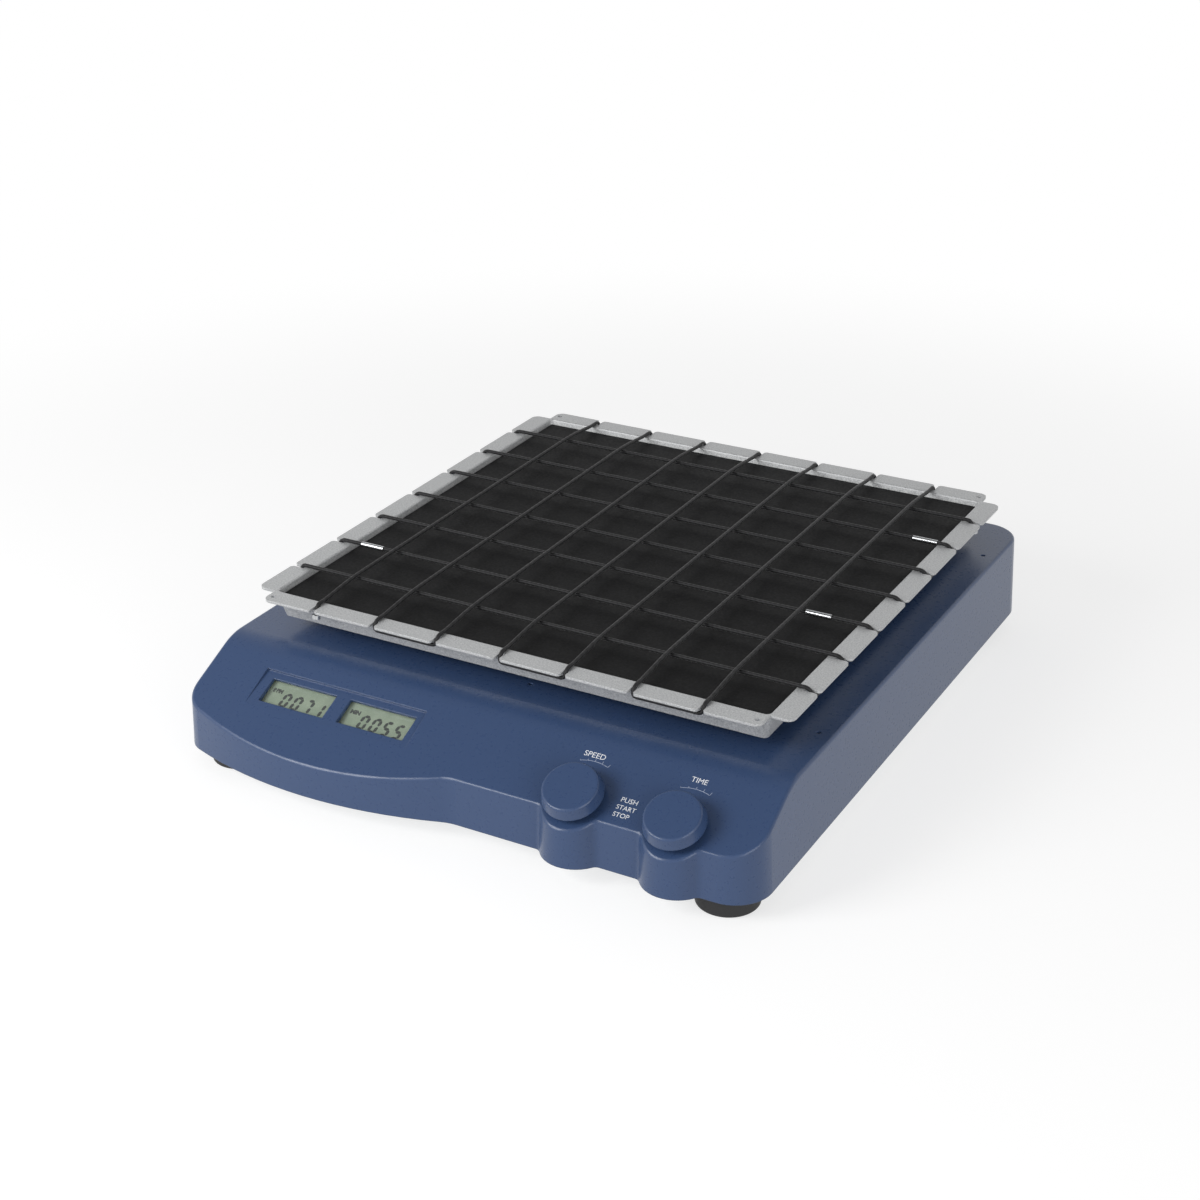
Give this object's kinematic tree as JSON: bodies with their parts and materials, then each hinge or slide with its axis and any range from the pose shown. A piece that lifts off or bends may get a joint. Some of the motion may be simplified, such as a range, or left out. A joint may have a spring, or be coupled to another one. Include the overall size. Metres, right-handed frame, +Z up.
{
  "type": "orbital shaker",
  "caption": "Benchtop orbital shaker: low casing with sloping display panel and push knobs, and a slotted tray with a rubber mat and a laced elastic cord net.",
  "frame": {"origin": "on the bench under the middle of the casing, at the level of the feet's undersides", "axes": "+X to the right of a person who faces the control panel, +Y to the rear, +Z up"},
  "size_m": [0.37, 0.431, 0.0943],
  "materials": {
    "casing_blue": "satin",
    "tray_sheet": "satin",
    "black_rubber": "matte",
    "elastic_cord": "matte",
    "steel": "satin",
    "zinc_plate": "satin",
    "cast_aluminium": "satin",
    "cast_iron": "matte",
    "bronze": "satin",
    "clear_window": "polished",
    "display_glass": "polished",
    "circuit_board": "satin",
    "black_plastic": "satin",
    "belt_rubber": "matte"
  },
  "bodies": {
    "casing": {"top_cover": "casing_blue", "base_plate": "zinc_plate", "base_screws": "steel", "foot_screws": "steel", "frame_screws": "steel", "display_windows": "clear_window", "speed_display": "display_glass", "time_display": "display_glass", "display_board": "circuit_board", "display_board_screws": "steel", "speed_encoder": "black_plastic", "time_encoder": "black_plastic", "encoder_nuts": "steel", "motor_housing": "cast_aluminium", "drive_belt": "belt_rubber", "drive_bearing_housing": "cast_aluminium", "drive_bearing_outer_rings": "steel", "idler_housings": "cast_aluminium", "idler_bushes": "bronze", "power_inlet": "black_plastic", "inlet_blades": "bronze", "power_switch_frame": "black_plastic", "power_supply": "zinc_plate", "control_board": "circuit_board", "board_components": "black_plastic", "foot_front_left": "black_rubber", "foot_front_right": "black_rubber", "foot_rear_left": "black_rubber", "foot_rear_right": "black_rubber"},
    "platform": {"carrier_plate": "cast_aluminium", "carrier_bushes": "bronze", "crank_pin_outer_ring": "steel", "carrier_posts": "cast_aluminium", "splash_discs": "black_plastic", "tray": "tray_sheet", "tray_screws": "steel", "rubber_mat": "black_rubber", "crosswise_cord": "elastic_cord", "lengthwise_cord": "elastic_cord", "cord_ferrules": "steel"},
    "crank": {"crank_shaft": "steel", "drive_pulley": "cast_aluminium", "counterweight": "cast_iron", "counterweight_screws": "steel", "drive_bearing_inner_rings": "steel", "crank_pin_inner_ring": "steel"},
    "motor_rotor": {"motor_shaft": "steel", "motor_pulley": "cast_aluminium"},
    "speed_push": {"speed_plunger": "black_plastic"},
    "speed_dial": {"speed_knob": "casing_blue", "speed_shaft": "steel"},
    "time_push": {"time_plunger": "black_plastic"},
    "time_dial": {"time_knob": "casing_blue", "time_shaft": "steel"},
    "power_switch": {"power_rocker": "black_plastic"},
    "idler_front_left": {"idler_crank_front_left": "steel"},
    "idler_front_right": {"idler_crank_front_right": "steel"},
    "idler_rear_left": {"idler_crank_rear_left": "steel"},
    "idler_rear_right": {"idler_crank_rear_right": "steel"}
  },
  "joints": [
    {"name": "drive_spin", "type": "hinge", "parent": "casing", "child": "crank", "pos_m": [0, 0.022, 0.045], "axis": [0, 0, 1], "continuous": true},
    {"name": "platform_orbit", "type": "hinge", "parent": "crank", "child": "platform", "pos_m": [0, 0.027, 0.056], "axis": [0, 0, 1], "continuous": true},
    {"name": "motor_spin", "type": "hinge", "parent": "casing", "child": "motor_rotor", "pos_m": [0, -0.088, 0.045], "axis": [0, 0, 1], "continuous": true},
    {"name": "idler_front_left_spin", "type": "hinge", "parent": "casing", "child": "idler_front_left", "pos_m": [-0.085, -0.063, 0.045], "axis": [0, 0, 1], "continuous": true},
    {"name": "idler_front_right_spin", "type": "hinge", "parent": "casing", "child": "idler_front_right", "pos_m": [0.085, -0.063, 0.045], "axis": [0, 0, 1], "continuous": true},
    {"name": "idler_rear_left_spin", "type": "hinge", "parent": "casing", "child": "idler_rear_left", "pos_m": [-0.085, 0.107, 0.045], "axis": [0, 0, 1], "continuous": true},
    {"name": "idler_rear_right_spin", "type": "hinge", "parent": "casing", "child": "idler_rear_right", "pos_m": [0.085, 0.107, 0.045], "axis": [0, 0, 1], "continuous": true},
    {"name": "speed_push", "type": "slide", "parent": "casing", "child": "speed_push", "axis": [0, 0.4473, -0.8944], "range_m": [0, 0.001], "stiffness_N_per_m": 3000, "springref_m": -0.0005},
    {"name": "speed_turn", "type": "hinge", "parent": "speed_push", "child": "speed_dial", "pos_m": [0.075, -0.19081, 0.04416], "axis": [0, -0.4473, 0.8944], "continuous": true},
    {"name": "time_push", "type": "slide", "parent": "casing", "child": "time_push", "axis": [0, 0.4473, -0.8944], "range_m": [0, 0.001], "stiffness_N_per_m": 3000, "springref_m": -0.0005},
    {"name": "time_turn", "type": "hinge", "parent": "time_push", "child": "time_dial", "pos_m": [0.1355, -0.19081, 0.04416], "axis": [0, -0.4473, 0.8944], "continuous": true},
    {"name": "power_rock", "type": "hinge", "parent": "casing", "child": "power_switch", "pos_m": [0.075, 0.2075, 0.036], "axis": [1, 0, 0], "range_deg": [0, 14]}
  ],
  "couplings": [
    {"joint": "platform_orbit", "follows": "drive_spin", "ratio": -1},
    {"joint": "motor_spin", "follows": "drive_spin", "ratio": 4},
    {"joint": "idler_front_left_spin", "follows": "drive_spin", "ratio": 1},
    {"joint": "idler_front_right_spin", "follows": "drive_spin", "ratio": 1},
    {"joint": "idler_rear_left_spin", "follows": "drive_spin", "ratio": 1},
    {"joint": "idler_rear_right_spin", "follows": "drive_spin", "ratio": 1}
  ]
}
